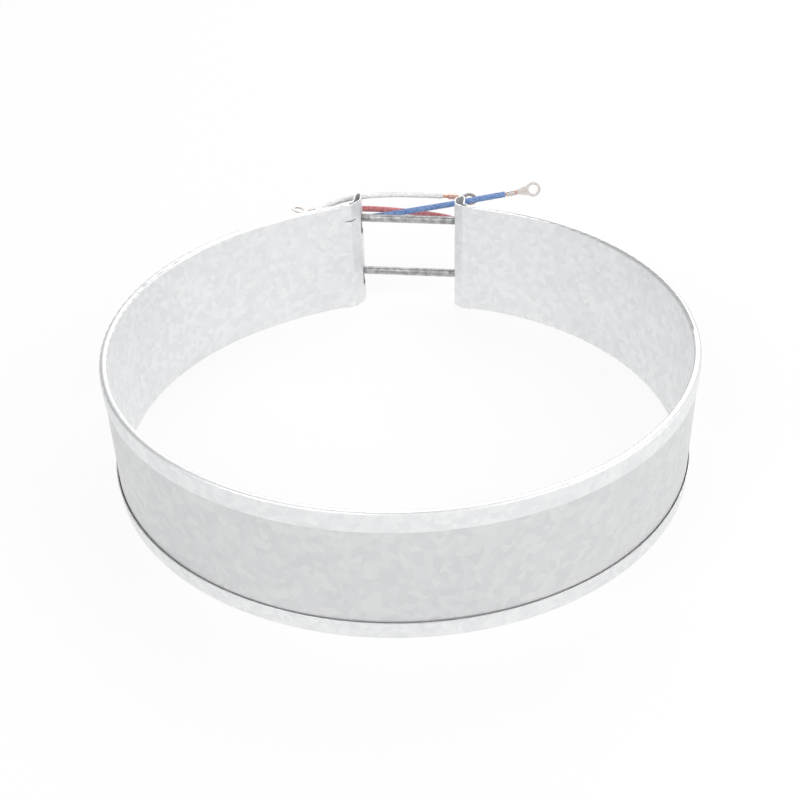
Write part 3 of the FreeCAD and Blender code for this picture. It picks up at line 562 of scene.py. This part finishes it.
# %% The three leads
# name, route, width, length, yarns each way, lay, relief, stations, points around, finish
LEADS = (("blue", BLUE_ROUTE, 3.4, 142.0, 8, 10.5, 0.26, 730, 65, blue_yarn),
         ("red", RED_ROUTE, 3.4, 141.0, 8, 10.5, 0.26, 730, 65, red_yarn),
         ("earth", EARTH_ROUTE, 3.0, 76.5, 12, 9.0, 0.1, 420, 73, white_yarn))
for name, route, width, length, yarns, lay, relief, stations, steps, finish in LEADS:
    line = lead_line(name, route)
    points = points_of(line)
    lead = made_by(name + "_sleeve", braid_group, {
        "Path": line, "Radius": width / 2 * MM, "Relief": relief * MM, "Yarns": yarns,
        "Lay": lay * MM, "Stations": stations, "Around": steps, "Finish": finish}, finish)
    bpy.data.objects.remove(line)
    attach(lead, "band")
    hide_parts(name + "_lead")
    print(name, "points on its line", len(points))

# %% [markdown]
# ## Floor and light
# The studio is a pale floor and a surround that is seen as white, lit by three large soft lamps. What
# the metal reflects of the surround is brighter to one side and darker overhead.

# %% Floor and lamps
floor_mesh = bpy.data.meshes.new("floor")
half = 3.0
floor_z = cad_low.z - 0.0001
floor_mesh.from_pydata([(-half, -half, floor_z), (half, -half, floor_z), (half, half, floor_z),
                        (-half, half, floor_z)], [], [(0, 1, 2, 3)])
floor = bpy.data.objects.new("floor", floor_mesh)
bpy.context.scene.collection.objects.link(floor)
floor_finish, tree, shader = finish_named("floor_paper", 0.0, 0.9, (0.86, 0.86, 0.86))
seen = add(tree, "ShaderNodeLightPath")
white = add(tree, "ShaderNodeEmission", {"Color": (1, 1, 1, 1), "Strength": 1.0})
either = maths(tree, "MAXIMUM", seen.outputs["Is Camera Ray"],
               maths(tree, "MAXIMUM", seen.outputs["Is Glossy Ray"], seen.outputs["Is Transmission Ray"]))
share = maths(tree, "MULTIPLY", either, 0.85)
mixed = add(tree, "ShaderNodeMixShader", {0: share, 1: shader.outputs[0], 2: white.outputs[0]})
tree.links.new(mixed.outputs[0], tree.nodes["Material Output"].inputs["Surface"])
floor_mesh.materials.append(floor_finish)

world = bpy.data.worlds.new("studio")
bpy.context.scene.world = world
world.use_nodes = True
tree = world.node_tree
background = tree.nodes["Background"]
seen = add(tree, "ShaderNodeLightPath")
feed(tree, background.inputs["Color"], (1, 1, 1, 1))
way = add(tree, "ShaderNodeSeparateXYZ",
          {0: add(tree, "ShaderNodeTexCoord").outputs["Generated"]}).outputs
side = maths(tree, "ADD", maths(tree, "MULTIPLY", way["X"], 0.6), maths(tree, "MULTIPLY", way["Y"], -0.5))
level_light = spread(tree, side, -0.6, 0.6, 0.38, 0.92)
overhead = spread(tree, way["Z"], 0.45, 0.8, 1.0, 0.3)
studio = maths(tree, "MULTIPLY", level_light, overhead)
direct = seen.outputs["Is Camera Ray"]
feed(tree, background.inputs["Strength"],
     maths(tree, "ADD", maths(tree, "MULTIPLY", studio, maths(tree, "SUBTRACT", 1.0, direct)), direct))


def soft_lamp(name, place, aim, size, power):
    """A square soft box."""
    lamp = bpy.data.lights.new(name, "AREA")
    lamp.shape = "SQUARE"
    lamp.size = size
    lamp.energy = power
    box = bpy.data.objects.new(name, lamp)
    box.location = place
    box.rotation_euler = (Vector(aim) - Vector(place)).to_track_quat("-Z", "Y").to_euler()
    bpy.context.scene.collection.objects.link(box)
    return box


soft_lamp("key", (-0.9, -0.9, 1.3), (0, 0, 0), 1.2, 16)
soft_lamp("fill", (1.2, -0.5, 0.9), (0, 0, 0), 1.2, 10)
soft_lamp("back", (0.2, 1.2, 1.2), (0, 0, 0), 1.2, 14)
